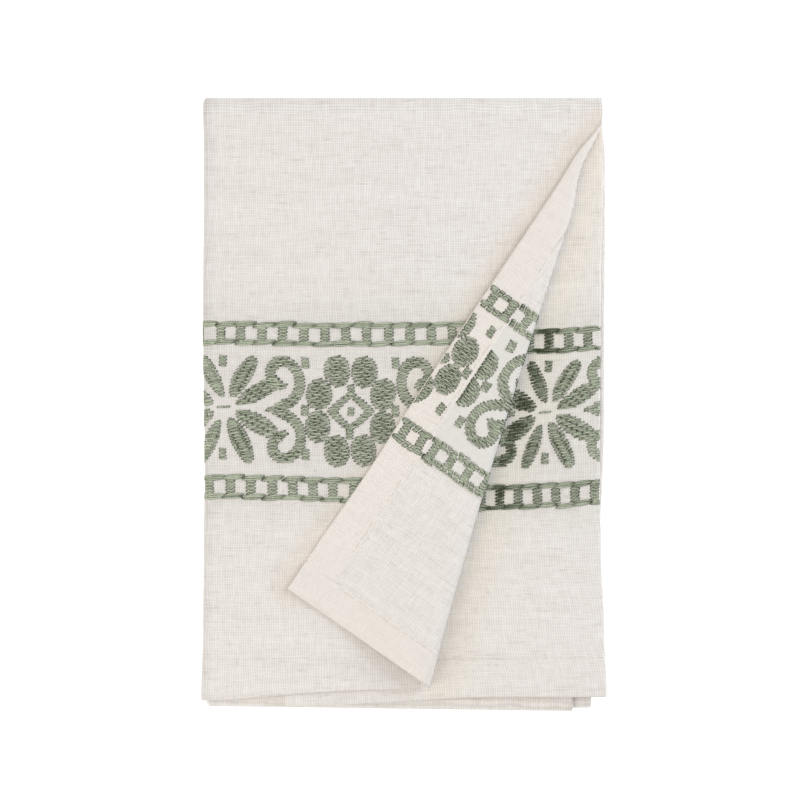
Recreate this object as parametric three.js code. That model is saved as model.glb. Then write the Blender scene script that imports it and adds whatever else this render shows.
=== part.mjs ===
// A tea towel, folded in thirds across and in thirds along, with the free corner of
// the top ply turned over.
//
// The towel is one cloth, hems included, so it is one solid. It is modelled flat first,
// in cloth coordinates: u runs across it, v runs along it, and w is the thickness, with
// the wrong side at +w. Every corner point is then folded into place.
//
// Frame: millimetres, +Z up, +Y along the folded length, +X across it. The towel lies
// on z = 0 with the origin under the middle of its outline.

import * as THREE from 'three';
import { mergeVertices } from 'three/addons/utils/BufferGeometryUtils.js';

// ---------------------------------------------------------------- driving dimensions

const WIDTH = 450;              // cloth, hem to hem
const LENGTH = 711;
const PLY = 1.0;                // one ply of the cloth
const GAP = 0.4;                // air between plies
const PITCH = PLY + GAP;

const FOLDED_LENGTH = 245;      // between the two end folds
const HEM_END = -117.7;         // y of the end hem that lies on top

// The third that is folded over last is the face of the stack. Its free side edge runs
// down the right, and the corner there is turned over along a straight crease.
const CREASE_TOP = { x: 79.4, y: 113.5 };
const CREASE_LEAN = THREE.MathUtils.degToRad(17.07);    // from the y axis
const ROLL_RADIUS = { top: 0.8, bottom: 3.2 };
const ROLL_LENGTH = 236;        // crease, from the side edge to the end hem
const CREASE_BOW = { middle: 2.2, end: 1.1, reach: 30 };
const CREASE_WAIST = { along: 22, length: 12, depth: 2.4, reach: 6 };
const FLAP_FALL = 42;           // distance over which the turned corner comes down
const SKEW = { slope: 0.0134, from: 67.1 };     // the bottom fold isn't quite square

// Where the two long folds run. y counts along the strip from its top end hem (v);
// left and right are the x of the folds, face is the width of the top third.
const FOLD_LINES = [
    // v,     left,   right,  face
    [   0,   -81.0,   80.6,  160.1],
    [  30,   -80.2,   79.5,  159.5],
    [  62,   -79.9,   78.3,  158.8],
    [  90,   -79.5,   77.7,  158.9],
    [ 160,   -80.2,   78.1,  159.5],
    [ 212,   -79.7,   79.0,  159.4],
    [ 240,   -80.3,   78.4,  159.4],
    [ 262,   -80.3,   80.4,  159.1],
    [ 364,   -79.6,   79.9,  152.8],
    [ 483,   -79.0,   74.6,  146.4],
    [ 711,   -74.2,   76.9,  152.4],
];

// Soft rises in the top panel: centre, reach each way, and height of the face ply.
const RISES = [
    //  x,    y,  reachX, reachY, height
    [ -30,    60,   46,     40,    0.9],
    [ -52,   -62,   30,     46,    0.8],
    [  66,   -30,   22,     60,    0.7],
    [  10,   -98,   40,     22,    0.6],
];

const FOLD_STEPS = { endTop: 10, endBottom: 6, left: 6, right: 4, roll: 8 };
const FLAT_COLUMNS = { face: 8, middle: 5, inner: 6 };
const FLAT_STEP = 24;           // longest facet on the flat stretches
const WAIST_STEP = 7;           // and beside the crease's waist, past this v
const WAIST_FROM = 184;
const SNAP = 0.08;              // a cut this close to a corner goes through it

// ------------------------------------------------------------- worked out from those

// The spine is the middle of the ply at the bottom of each panel's three.
const TOP_RADIUS = 2 * PITCH;
const BOTTOM_RADIUS = PITCH / 2;
const PANEL_LEVEL = { first: PLY / 2 + 6 * PITCH, second: PLY / 2 + 2 * PITCH };
const TOP_CENTRE = FOLDED_LENGTH / 2 - 4 * PITCH - PLY / 2;
const BOTTOM_CENTRE = -FOLDED_LENGTH / 2 + 2.5 * PITCH + PLY / 2;

const V_TOP = TOP_CENTRE - HEM_END;                         // start of the top fold
const V_SECOND = V_TOP + Math.PI * TOP_RADIUS;
const V_BOTTOM = V_SECOND + TOP_CENTRE - BOTTOM_CENTRE;     // start of the bottom fold
const V_THIRD = V_BOTTOM + Math.PI * BOTTOM_RADIUS;

const LEFT_RADIUS = PITCH;
const RIGHT_RADIUS = PITCH / 2;
const FACE_LEVEL = PANEL_LEVEL.first + 2 * PITCH;

const { smoothstep, lerp } = THREE.MathUtils;

// ------------------------------------------------------------------ the end folds

// The spine at v: its place, and the direction that leads to the face ply.
function spine(v) {
    if (v <= V_TOP) {
        return { y: HEM_END + v, z: PANEL_LEVEL.first, ny: 0, nz: 1 };
    }
    if (v <= V_SECOND) {
        const a = (v - V_TOP) / TOP_RADIUS;
        const z = PANEL_LEVEL.first - TOP_RADIUS;
        return {
            y: TOP_CENTRE + TOP_RADIUS * Math.sin(a),
            z: z + TOP_RADIUS * Math.cos(a),
            ny: Math.sin(a),
            nz: Math.cos(a),
        };
    }
    if (v <= V_BOTTOM) {
        return { y: TOP_CENTRE - (v - V_SECOND), z: PANEL_LEVEL.second, ny: 0, nz: -1 };
    }
    if (v <= V_THIRD) {
        const a = (v - V_BOTTOM) / BOTTOM_RADIUS;
        const z = PANEL_LEVEL.second + BOTTOM_RADIUS;
        return {
            y: BOTTOM_CENTRE - BOTTOM_RADIUS * Math.sin(a),
            z: z - BOTTOM_RADIUS * Math.cos(a),
            ny: -Math.sin(a),
            nz: -Math.cos(a),
        };
    }
    const z = PANEL_LEVEL.second + 2 * BOTTOM_RADIUS;
    return { y: BOTTOM_CENTRE + v - V_THIRD, z, ny: 0, nz: 1 };
}

// ----------------------------------------------------------------- the long folds

// The rows of FOLD_LINES, joined by a smooth step, and the u of both folds.
function foldLines(v) {
    const next = Math.max(1, FOLD_LINES.findIndex((row) => row[0] >= v));
    const [before, after] = [FOLD_LINES[next - 1], FOLD_LINES[next]];
    const t = smoothstep(v, before[0], after[0]);
    const [left, right, face] = [1, 2, 3].map((k) => lerp(before[k], after[k], t));
    const leftCentre = left + PLY / 2 + LEFT_RADIUS;
    const rightCentre = right - PLY / 2 - RIGHT_RADIUS;
    const arcs = Math.PI * (LEFT_RADIUS + RIGHT_RADIUS) / 2;
    const uRight = face + rightCentre - leftCentre + arcs;
    return { left, leftCentre, rightCentre, uLeft: face, uRight };
}

// The section across the strip: x, and the height h above the spine.
function section(u, v, w) {
    const lines = foldLines(v);
    const halfLeft = Math.PI * LEFT_RADIUS / 2;
    const halfRight = Math.PI * RIGHT_RADIUS / 2;
    const fromLeft = u - lines.uLeft;
    const fromRight = u - lines.uRight;
    if (fromLeft < -halfLeft) {
        return { third: 'face', x: lines.leftCentre - halfLeft - fromLeft, h: 2 * PITCH - w };
    }
    if (fromLeft < halfLeft) {
        const a = Math.PI / 2 + (fromLeft + halfLeft) / LEFT_RADIUS;
        const r = LEFT_RADIUS - w;
        const h = LEFT_RADIUS + r * Math.sin(a);
        return { third: 'fold', x: lines.leftCentre + r * Math.cos(a), h };
    }
    if (fromRight < -halfRight) {
        return { third: 'middle', x: lines.leftCentre + fromLeft - halfLeft, h: w };
    }
    if (fromRight < halfRight) {
        const a = -Math.PI / 2 + (fromRight + halfRight) / RIGHT_RADIUS;
        const r = RIGHT_RADIUS - w;
        const h = RIGHT_RADIUS + r * Math.sin(a);
        return { third: 'inner', x: lines.rightCentre + r * Math.cos(a), h };
    }
    return { third: 'inner', x: lines.rightCentre - fromRight + halfRight, h: PITCH - w };
}

// ------------------------------------------------- unevenness of the panel on top

// How far the hem end of the face ply is drawn up towards its right side.
function faceDraw(x, v, left) {
    const t = Math.max(0, x - left);
    return 6.4 * t * t / (t * t + 46 * 46) * (1 - smoothstep(v, 0, 24));
}

// The ply under it lies a little askew: by the hem, and more so half-way up.
function innerDraw(inset, v) {
    const atHem = 1.2 - 3.4 * smoothstep(inset, 42, 118);
    const halfWay = -2.2 - 0.055 * inset;
    const fade = 1 - smoothstep(v, 155, V_TOP - 6);
    return lerp(atHem, halfWay, smoothstep(v, 0, 80)) * fade;
}

function rise(x, y) {
    const lift = RISES.map(([cx, cy, reachX, reachY, height]) => {
        const r2 = ((x - cx) / reachX) ** 2 + ((y - cy) / reachY) ** 2;
        return height * Math.exp(-r2);
    });
    return lift.reduce((sum, value) => sum + value, 0);
}

// ------------------------------------------------------------- the turned corner

// A place in plan, seen from the crease: along it from its top, and across it.
function fromCrease(x, y) {
    const [dx, dy] = [x - CREASE_TOP.x, y - CREASE_TOP.y];
    const [s, c] = [Math.sin(CREASE_LEAN), Math.cos(CREASE_LEAN)];
    return { along: -dx * s - dy * c, across: dx * c - dy * s };
}

function toPlan(along, across) {
    const [s, c] = [Math.sin(CREASE_LEAN), Math.cos(CREASE_LEAN)];
    return {
        x: CREASE_TOP.x - along * s + across * c,
        y: CREASE_TOP.y - along * c - across * s,
    };
}

function rollRadius(along) {
    const t = THREE.MathUtils.clamp(along / ROLL_LENGTH, 0, 1);
    return lerp(ROLL_RADIUS.top, ROLL_RADIUS.bottom, t ** 1.3);
}

// The crease isn't quite straight: how far it bows towards the turned corner, which is
// drawn in to a waist near the top.
function creaseBow(along, sideways) {
    const t = THREE.MathUtils.clamp(along / ROLL_LENGTH, 0, 1);
    const bow = CREASE_BOW.middle * Math.sin(Math.PI * t) - CREASE_BOW.end * t;
    const r2 = ((along - CREASE_WAIST.along) / CREASE_WAIST.length) ** 2;
    const waist = CREASE_WAIST.depth * Math.exp(-r2 - (sideways / CREASE_WAIST.reach) ** 2);
    return bow * Math.exp(-((sideways / CREASE_BOW.reach) ** 2)) + waist;
}

// Turns a point of the face ply over the crease: its place in plan, and how far it
// stands above the ply's middle. w is its offset to the wrong side, which faces down
// until the ply is turned.
function turnCorner(x, y, w) {
    const { along, across } = fromCrease(x, y);
    const radius = rollRadius(along);
    const half = Math.PI * radius / 2;
    let sideways = across;
    let above = -w;
    if (across >= half) {
        const fallen = smoothstep(across - half, 0, FLAP_FALL);
        sideways = -across;
        above = lerp(2 * radius, PITCH, fallen) + w;
    } else if (across > -half) {
        const turn = (across + half) / radius;
        sideways = -half + (radius + w) * Math.sin(turn);
        above = radius - (radius + w) * Math.cos(turn);
    }
    return { ...toPlan(along, sideways - creaseBow(along, sideways)), above };
}

// ------------------------------------------------------------------ folding a point

function fold(u, v, w) {
    const base = spine(v);
    const { third, x, h } = section(u, v, w);
    const y = base.y + h * base.ny;
    const z = base.z + h * base.nz;
    if (v >= V_TOP) {
        const skewed = smoothstep(v, V_SECOND, V_BOTTOM) - smoothstep(v, V_THIRD, LENGTH);
        return new THREE.Vector3(x, y + SKEW.slope * (SKEW.from - x) * skewed, z);
    }
    const lines = foldLines(v);
    const settle = 1 - smoothstep(v, V_TOP - 30, V_TOP);
    if (third === 'face') {
        const turned = turnCorner(x, y + faceDraw(x, v, lines.left), w);
        const lift = rise(turned.x, turned.y) * settle;
        return new THREE.Vector3(turned.x, turned.y, FACE_LEVEL + turned.above + lift);
    }
    const inset = third === 'inner' ? Math.max(0, lines.rightCentre - x) : 0;
    const reached = smoothstep(x, lines.leftCentre, lines.rightCentre);
    const pull = { inner: 1, middle: reached, fold: 0 }[third];
    const share = THREE.MathUtils.clamp(h / (2 * PITCH), 0, 1);
    const lift = rise(x, y) * share * settle;
    return new THREE.Vector3(x, y + innerDraw(inset, v) * pull, z + lift);
}

// ------------------------------------------------------------- cutting the flat cloth

// Cuts every triangle along the line where field(u, v) is zero.
function cutAlong(triangles, field) {
    const cutEdge = (a, b, fa, fb) => {
        const flip = a.u > b.u || (a.u === b.u && (a.v > b.v || (a.v === b.v && a.w > b.w)));
        const [p, q, fp, fq] = flip ? [b, a, fb, fa] : [a, b, fa, fb];
        const t = fp / (fp - fq);
        return { u: lerp(p.u, q.u, t), v: lerp(p.v, q.v, t), w: lerp(p.w, q.w, t) };
    };
    const result = [];
    for (const triangle of triangles) {
        const f = triangle.map((p) => {
            const value = field(p.u, p.v);
            return Math.abs(value) < SNAP ? 0 : value;
        });
        const above = f.filter((value) => value > 0).length;
        const below = f.filter((value) => value < 0).length;
        if (above === 0 || below === 0) {
            result.push(triangle);
            continue;
        }
        // turn the triangle so that its lone corner, or the one on the line, is first
        const lone = f.some((value) => value === 0)
            ? f.findIndex((value) => value === 0)
            : f.findIndex((value) => (value > 0) === (above === 1));
        const [a, b, c] = [0, 1, 2].map((k) => triangle[(lone + k) % 3]);
        const [fa, fb, fc] = [0, 1, 2].map((k) => f[(lone + k) % 3]);
        if (fa === 0) {
            const m = cutEdge(b, c, fb, fc);
            result.push([a, b, m], [a, m, c]);
            continue;
        }
        const m = cutEdge(a, b, fa, fb);
        const n = cutEdge(a, c, fa, fc);
        result.push([a, m, n]);
        const shorter = Math.hypot(m.u - c.u, m.v - c.v) < Math.hypot(n.u - b.u, n.v - b.v);
        if (shorter) {
            result.push([m, b, c], [m, c, n]);
        } else {
            result.push([m, b, n], [n, b, c]);
        }
    }
    return result;
}

// Evenly spaced values between start and end, with steps no longer than step.
function flatSteps(start, end, step = FLAT_STEP) {
    const count = Math.ceil((end - start) / step);
    return Array.from({ length: count - 1 }, (_, k) => lerp(start, end, (k + 1) / count));
}

function arcSteps(start, length, count) {
    return Array.from({ length: count + 1 }, (_, k) => start + length * k / count);
}

// The v of each row of corners.
function rowPlaces() {
    return [
        0, 8, 16, 24,
        ...flatSteps(24, WAIST_FROM),
        WAIST_FROM,
        ...flatSteps(WAIST_FROM, V_TOP, WAIST_STEP),
        ...arcSteps(V_TOP, V_SECOND - V_TOP, FOLD_STEPS.endTop),
        ...flatSteps(V_SECOND, V_BOTTOM),
        ...arcSteps(V_BOTTOM, V_THIRD - V_BOTTOM, FOLD_STEPS.endBottom),
        ...flatSteps(V_THIRD, LENGTH),
        LENGTH,
    ];
}

// The u of each column of corners where the row stands at v: the columns follow the
// long folds, so their number is the same in every row.
function columnPlaces(v) {
    const { uLeft, uRight } = foldLines(v);
    const leftArc = Math.PI * LEFT_RADIUS;
    const rightArc = Math.PI * RIGHT_RADIUS;
    const spread = (start, end, count) => {
        return Array.from({ length: count - 1 }, (_, k) => lerp(start, end, (k + 1) / count));
    };
    return [
        0,
        ...spread(0, uLeft - leftArc / 2, FLAT_COLUMNS.face),
        ...arcSteps(uLeft - leftArc / 2, leftArc, FOLD_STEPS.left),
        ...spread(uLeft + leftArc / 2, uRight - rightArc / 2, FLAT_COLUMNS.middle),
        ...arcSteps(uRight - rightArc / 2, rightArc, FOLD_STEPS.right),
        ...spread(uRight + rightArc / 2, WIDTH, FLAT_COLUMNS.inner),
        WIDTH,
    ];
}

// Lines beside the crease, on the face ply of the top panel only.
function creaseLines() {
    const far = -1000;
    const acrossAt = (u, v) => {
        const { third, x } = section(u, v, 0);
        if (v > V_SECOND || third !== 'face') {
            return null;
        }
        return fromCrease(x, HEM_END + v + faceDraw(x, v, foldLines(v).left));
    };
    const roll = arcSteps(-1, 2, FOLD_STEPS.roll).map((share) => (u, v) => {
        const place = acrossAt(u, v);
        return place ? place.across - share * Math.PI * rollRadius(place.along) / 2 : far;
    });
    const fall = [0.25, 0.5, 0.75, 1].map((share) => (u, v) => {
        const place = acrossAt(u, v);
        const start = place ? Math.PI * rollRadius(place.along) / 2 : 0;
        return place ? place.across - start - share * FLAP_FALL : far;
    });
    return [...roll, ...fall];
}

// The flat cloth: a thin box of rows and columns, as triangles in cloth coordinates.
function flatCloth() {
    const rows = rowPlaces();
    const across = columnPlaces(0).length - 1;
    const along = rows.length - 1;
    const box = new THREE.BoxGeometry(across, along, PLY, across, along, 1).toNonIndexed();
    box.translate(across / 2, along / 2, 0);
    const p = box.getAttribute('position');
    const corner = (k) => {
        const v = rows[Math.round(p.getY(k))];
        return { u: columnPlaces(v)[Math.round(p.getX(k))], v, w: p.getZ(k) };
    };
    return Array.from({ length: p.count / 3 }, (_, k) => [3 * k, 3 * k + 1, 3 * k + 2].map(corner));
}

function foldedCloth() {
    let triangles = flatCloth();
    for (const line of creaseLines()) {
        triangles = cutAlong(triangles, line);
    }
    const points = triangles.flat().flatMap(({ u, v, w }) => fold(u, v, w).toArray());
    const geometry = new THREE.BufferGeometry();
    geometry.setAttribute('position', new THREE.Float32BufferAttribute(points, 3));
    const merged = mergeVertices(geometry, 1e-4);
    merged.computeVertexNormals();
    merged.computeBoundingBox();
    const middle = merged.boundingBox.getCenter(new THREE.Vector3());
    merged.translate(-middle.x, -middle.y, -merged.boundingBox.min.z);
    return merged;
}

// -------------------------------------------------------------------------- the part

const linenCotton = new THREE.MeshStandardMaterial({
    color: 0xe9e2da,
    roughness: 0.95,
    metalness: 0.0,
});

const towel = new THREE.Mesh(foldedCloth(), linenCotton);
towel.name = 'towel';

const teaTowel = new THREE.Group();
teaTowel.add(towel);

export default teaTowel;
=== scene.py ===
# A tea towel, folded in thirds both ways, with the free corner of its top ply turned
# over. Everything here is in metres, apart from cloth coordinates, which are in
# millimetres on the flat towel: u runs across it, v along it, and w is the thickness,
# with the wrong side at +w.

import functools
import math

import bmesh
import bpy
import numpy as np
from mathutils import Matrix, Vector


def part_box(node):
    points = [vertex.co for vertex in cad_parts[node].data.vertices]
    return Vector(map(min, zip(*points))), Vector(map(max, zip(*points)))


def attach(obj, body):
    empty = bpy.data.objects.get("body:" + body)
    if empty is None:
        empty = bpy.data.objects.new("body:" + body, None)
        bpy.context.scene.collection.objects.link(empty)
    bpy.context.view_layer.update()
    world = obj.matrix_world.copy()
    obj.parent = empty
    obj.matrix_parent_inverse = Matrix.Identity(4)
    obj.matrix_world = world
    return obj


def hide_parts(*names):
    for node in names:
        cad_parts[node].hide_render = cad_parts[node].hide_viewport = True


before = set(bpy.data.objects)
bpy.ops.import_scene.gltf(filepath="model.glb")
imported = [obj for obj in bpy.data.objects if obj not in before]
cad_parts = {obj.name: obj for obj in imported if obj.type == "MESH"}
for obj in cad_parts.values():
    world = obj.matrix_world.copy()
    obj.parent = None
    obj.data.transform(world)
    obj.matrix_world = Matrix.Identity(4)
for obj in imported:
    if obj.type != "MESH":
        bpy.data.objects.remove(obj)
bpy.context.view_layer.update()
TOWEL_LOW, TOWEL_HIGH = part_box("towel")


# ---------------------------------------------------------------------- the studio
# A white sweep in a white room, under a soft light overhead and a low one on each side,
# warm on the left and cool on the right. The camera looks straight down from far off.

VIEW_WIDTH = 0.3186
VIEW_CENTRE = (-0.0016, 0.0018)
CAMERA_HEIGHT = 1.6
CAMERA_REACH = 20.0
SENSOR = 36.0
FLOOR_SIZE = 6.0
PAPER_GLOW = 0.40
ROOM_GLOW = 0.40
WHITE = (1.0, 1.0, 1.0, 1.0)
WARM = (1.03, 1.0, 0.95)
COOL = (0.94, 1.0, 1.08)


def linear(hex_colour):
    """An sRGB hex colour as the linear RGBA that a material takes."""
    channels = [int(hex_colour[k:k + 2], 16) / 255 for k in (1, 3, 5)]
    bent = [c / 12.92 if c <= 0.04045 else ((c + 0.055) / 1.055) ** 2.4 for c in channels]
    return (*bent, 1.0)


def add_node(tree, kind, settings=None, **links):
    """A node of this kind, such as "Bump" or "Math SINE", with its settings and sockets
    filled. A link is another node, for its first output, or a socket of one; anything
    else is the socket's own value. Socket names have _ for spaces, and a bare index is
    written as _0, _1 and so on."""
    kind, _, operation = kind.partition(" ")
    node = tree.nodes.new("ShaderNode" + kind)
    if operation:
        node.operation = operation
    for name, value in (settings or {}).items():
        setattr(node, name, value)
    for name, value in links.items():
        socket = node.inputs[int(name[1:]) if name[1:].isdigit() else name.replace("_", " ")]
        if isinstance(value, bpy.types.Node):
            value = value.outputs[0]
        if isinstance(value, bpy.types.NodeSocket):
            tree.links.new(value, socket)
        else:
            socket.default_value = value
    return node


def new_material(name):
    """An empty node material, and the function that adds a node to it."""
    material = bpy.data.materials.new(name)
    material.use_nodes = True
    material.node_tree.nodes.clear()
    return material, functools.partial(add_node, material.node_tree)


def new_object(name, data, material=None):
    """A piece of this mesh and material, or a lamp or camera, in the scene."""
    piece = bpy.data.objects.new(name, data)
    if material:
        data.materials.append(material)
    bpy.context.collection.objects.link(piece)
    return piece


def white_sweep():
    """Matt white paper, lit from behind a little: it has no gloss and no grain that
    would show, and it stays white close to the towel."""
    material, node = new_material("matt white paper")
    paper = node("BsdfPrincipled", Base_Color=linear("#f4f4f4"), Roughness=1.0)
    paper.inputs["Specular IOR Level"].default_value = 0.0
    paper.inputs["Emission Color"].default_value = WHITE
    paper.inputs["Emission Strength"].default_value = PAPER_GLOW
    node("OutputMaterial", Surface=paper)
    return material


bm = bmesh.new()
bmesh.ops.create_grid(bm, x_segments=1, y_segments=1, size=FLOOR_SIZE / 2)
floor_mesh = bpy.data.meshes.new("floor")
bm.to_mesh(floor_mesh)
bm.free()
floor = new_object("floor", floor_mesh, white_sweep())

camera_data = bpy.data.cameras.new("camera")
camera_data.sensor_width = SENSOR
camera_data.lens = SENSOR * (CAMERA_HEIGHT - TOWEL_HIGH[2] / 2) / VIEW_WIDTH
camera_data.clip_end = CAMERA_REACH
camera = new_object("camera", camera_data)
camera.location = (*VIEW_CENTRE, CAMERA_HEIGHT)
bpy.context.scene.camera = camera


def soft_light(name, size, power, place, colour):
    """A square area light that faces the towel."""
    data = bpy.data.lights.new(name, "AREA")
    data.size = size
    data.energy = power
    data.color = colour
    light = new_object(name, data)
    light.location = place
    towards = -light.location.normalized()
    light.rotation_euler = towards.to_track_quat("-Z", "Y").to_euler()


soft_light("overhead softbox", 1.0, 4.3, (0.1, 0.2, 1.7), WARM)
soft_light("left softbox", 0.9, 6.8, (-0.86, -0.36, 0.68), WARM)
soft_light("right softbox", 0.7, 6.9, (0.95, 0.40, 0.56), COOL)

world = bpy.data.worlds.new("white room")
world.use_nodes = True
room = world.node_tree.nodes["Background"]
room.inputs["Color"].default_value = WHITE
room.inputs["Strength"].default_value = ROOM_GLOW
bpy.context.scene.world = world
bpy.context.scene.view_settings.view_transform = "Standard"


# ----------------------------------------------------------------------- the cloth
# One ply of linen and cotton in plain weave. It is cut and laid flat first, as a thin
# shell in cloth coordinates, and then every point of it is folded as the towel is.

CLOTH_WIDTH = 450.0
CLOTH_LENGTH = 711.0
SOLID_PLY = 1.0                 # the ply that the solid model has
AIR = 0.4
PITCH = SOLID_PLY + AIR
CLOTH_THICKNESS = 0.7

FOLDED_LENGTH = 245.0
HEM_END = -117.7                # y of the end hem that lies on top
TO_METRES = 0.001

# The crease that the top ply's corner is turned over
CREASE_TOP = (79.4, 113.5)
CREASE_LEAN = math.radians(17.07)
ROLL_RADIUS = (0.8, 3.2)        # at the top and at the end hem
ROLL_LENGTH = 236.0
ROLL_GROWTH = 1.3               # it widens a little more towards the hem
CREASE_BOW = (2.2, 1.1, 30.0)   # half-way, at the end hem, and how far it reaches
CREASE_WAIST = (22.0, 12.0, 2.4, 6.0)   # place and length along it, depth, and reach
FLAP_FALL = 42.0                # how far from the roll the corner comes down
SKEW = (0.0134, 67.1)           # the bottom fold's slope, and the x that it turns about

# How far plies are drawn up askew. The face ply: at most, how far in from its fold half
# of that is reached, and the v where it has faded. The ply under it, by the hem: at its
# fold, the drop, and where in from it that starts and ends; half-way up: at its fold, the
# slope, and the v where that is reached
FACE_DRAW = (6.4, 46.0, 24.0)
INNER_BY_HEM = (1.2, 3.4, 42.0, 118.0)
INNER_HALF_WAY = (-2.2, -0.055, 80.0)
INNER_FADE = 155.0              # the v from which it runs straight again

# Where the two long folds run: v, x of the left and right folds, width of the face third
FOLD_LINES = np.array([
    (0, -81.0, 80.6, 160.1),
    (30, -80.2, 79.5, 159.5),
    (62, -79.9, 78.3, 158.8),
    (90, -79.5, 77.7, 158.9),
    (160, -80.2, 78.1, 159.5),
    (212, -79.7, 79.0, 159.4),
    (240, -80.3, 78.4, 159.4),
    (262, -80.3, 80.4, 159.1),
    (364, -79.6, 79.9, 152.8),
    (483, -79.0, 74.6, 146.4),
    (711, -74.2, 76.9, 152.4),
])

# Soft rises in the top panel: centre, reach each way, and height of the face ply
RISES = [
    (-30, 60, 46, 40, 0.9),
    (-52, -62, 30, 46, 0.8),
    (66, -30, 22, 60, 0.7),
    (10, -98, 40, 22, 0.6),
]

TOP_RADIUS = 2 * PITCH
BOTTOM_RADIUS = PITCH / 2
FIRST_LEVEL = SOLID_PLY / 2 + 6 * PITCH
SECOND_LEVEL = SOLID_PLY / 2 + 2 * PITCH
FACE_LEVEL = FIRST_LEVEL + 2 * PITCH
TOP_CENTRE = FOLDED_LENGTH / 2 - 4 * PITCH - SOLID_PLY / 2
BOTTOM_CENTRE = -FOLDED_LENGTH / 2 + 2.5 * PITCH + SOLID_PLY / 2
V_TOP = TOP_CENTRE - HEM_END                        # start of the top fold
V_SECOND = V_TOP + math.pi * TOP_RADIUS
V_BOTTOM = V_SECOND + TOP_CENTRE - BOTTOM_CENTRE    # start of the bottom fold
V_THIRD = V_BOTTOM + math.pi * BOTTOM_RADIUS
LEFT_RADIUS = PITCH
RIGHT_RADIUS = PITCH / 2
HALF_LEFT = math.pi * LEFT_RADIUS / 2
HALF_RIGHT = math.pi * RIGHT_RADIUS / 2

# The solid is centred on its own box, and its left fold reaches furthest at the hem
SHIFT_X = TOWEL_LOW[0] / TO_METRES - FOLD_LINES[:, 1].min()


def mix(a, b, t):
    """Between a and b: a where t is 0, b where it is 1."""
    return a + (b - a) * t


def smooth_step(value, low, high):
    """0 up to low, 1 from high on, and soft between them. low may be above high."""
    t = np.clip((value - low) / (high - low), 0.0, 1.0)
    return t * t * (3.0 - 2.0 * t)


def hump(distance, reach):
    """1 at no distance, and faded to almost nothing at twice the reach."""
    return np.exp(-((distance / reach) ** 2))


def spine(v):
    """The bottom ply of each panel's three: its place, and the way to the others."""
    over_top = (v - V_TOP) / TOP_RADIUS
    over_bottom = (v - V_BOTTOM) / BOTTOM_RADIUS
    where = [v <= V_TOP, v <= V_SECOND, v <= V_BOTTOM, v <= V_THIRD]
    flat = np.zeros_like(v)
    y = np.select(where, [
        HEM_END + v,
        TOP_CENTRE + TOP_RADIUS * np.sin(over_top),
        TOP_CENTRE - (v - V_SECOND),
        BOTTOM_CENTRE - BOTTOM_RADIUS * np.sin(over_bottom),
    ], BOTTOM_CENTRE + v - V_THIRD)
    z = np.select(where, [
        flat + FIRST_LEVEL,
        FIRST_LEVEL - TOP_RADIUS + TOP_RADIUS * np.cos(over_top),
        flat + SECOND_LEVEL,
        SECOND_LEVEL + BOTTOM_RADIUS - BOTTOM_RADIUS * np.cos(over_bottom),
    ], SECOND_LEVEL + 2 * BOTTOM_RADIUS)
    out_y = np.select(where, [flat, np.sin(over_top), flat, -np.sin(over_bottom)], 0.0)
    out_z = np.select(where, [flat + 1, np.cos(over_top), flat - 1, -np.cos(over_bottom)], 1.0)
    return y, z, out_y, out_z


def fold_lines(v):
    """The left fold's x, the centres of both fold arcs, and the u of both folds."""
    after = np.clip(np.searchsorted(FOLD_LINES[:, 0], v), 1, len(FOLD_LINES) - 1)
    t = smooth_step(v, FOLD_LINES[after - 1, 0], FOLD_LINES[after, 0])
    left, right, face = [
        mix(FOLD_LINES[after - 1, k], FOLD_LINES[after, k], t) for k in (1, 2, 3)]
    left_centre = left + SOLID_PLY / 2 + LEFT_RADIUS
    right_centre = right - SOLID_PLY / 2 - RIGHT_RADIUS
    u_right = face + right_centre - left_centre + HALF_LEFT + HALF_RIGHT
    return left, left_centre, right_centre, face, u_right


def section(u, v, w):
    """The section across: x, the height above the spine, and which third it is in."""
    _, left_centre, right_centre, u_left, u_right = fold_lines(v)
    from_left = u - u_left
    from_right = u - u_right
    turn_left = math.pi / 2 + (from_left + HALF_LEFT) / LEFT_RADIUS
    turn_right = -math.pi / 2 + (from_right + HALF_RIGHT) / RIGHT_RADIUS
    where = [
        from_left < -HALF_LEFT,
        from_left < HALF_LEFT,
        from_right < -HALF_RIGHT,
        from_right < HALF_RIGHT,
    ]
    x = np.select(where, [
        left_centre - HALF_LEFT - from_left,
        left_centre + (LEFT_RADIUS - w) * np.cos(turn_left),
        left_centre + from_left - HALF_LEFT,
        right_centre + (RIGHT_RADIUS - w) * np.cos(turn_right),
    ], right_centre - from_right + HALF_RIGHT)
    height = np.select(where, [
        2 * PITCH - w,
        LEFT_RADIUS + (LEFT_RADIUS - w) * np.sin(turn_left),
        w + 0 * u,
        RIGHT_RADIUS + (RIGHT_RADIUS - w) * np.sin(turn_right),
    ], PITCH - w)
    face, middle = where[0], ~where[1] & where[2]
    return x, height, face, middle, ~where[2]


def face_draw(x, v, left):
    """How far the hem end of the face ply is drawn up towards its right side."""
    most, half_at, fade = FACE_DRAW
    t = np.maximum(0.0, x - left)
    return most * t * t / (t * t + half_at * half_at) * (1 - smooth_step(v, 0, fade))


def inner_draw(inset, v):
    """The ply under it lies a little askew: by the hem, and more so half-way up."""
    draw_up, loss, start, end = INNER_BY_HEM
    at_hem = draw_up - loss * smooth_step(inset, start, end)
    at_fold, slope, half_way_up = INNER_HALF_WAY
    half_way = at_fold + slope * inset
    fade = 1 - smooth_step(v, INNER_FADE, V_TOP - 6)
    return mix(at_hem, half_way, smooth_step(v, 0, half_way_up)) * fade


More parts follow.
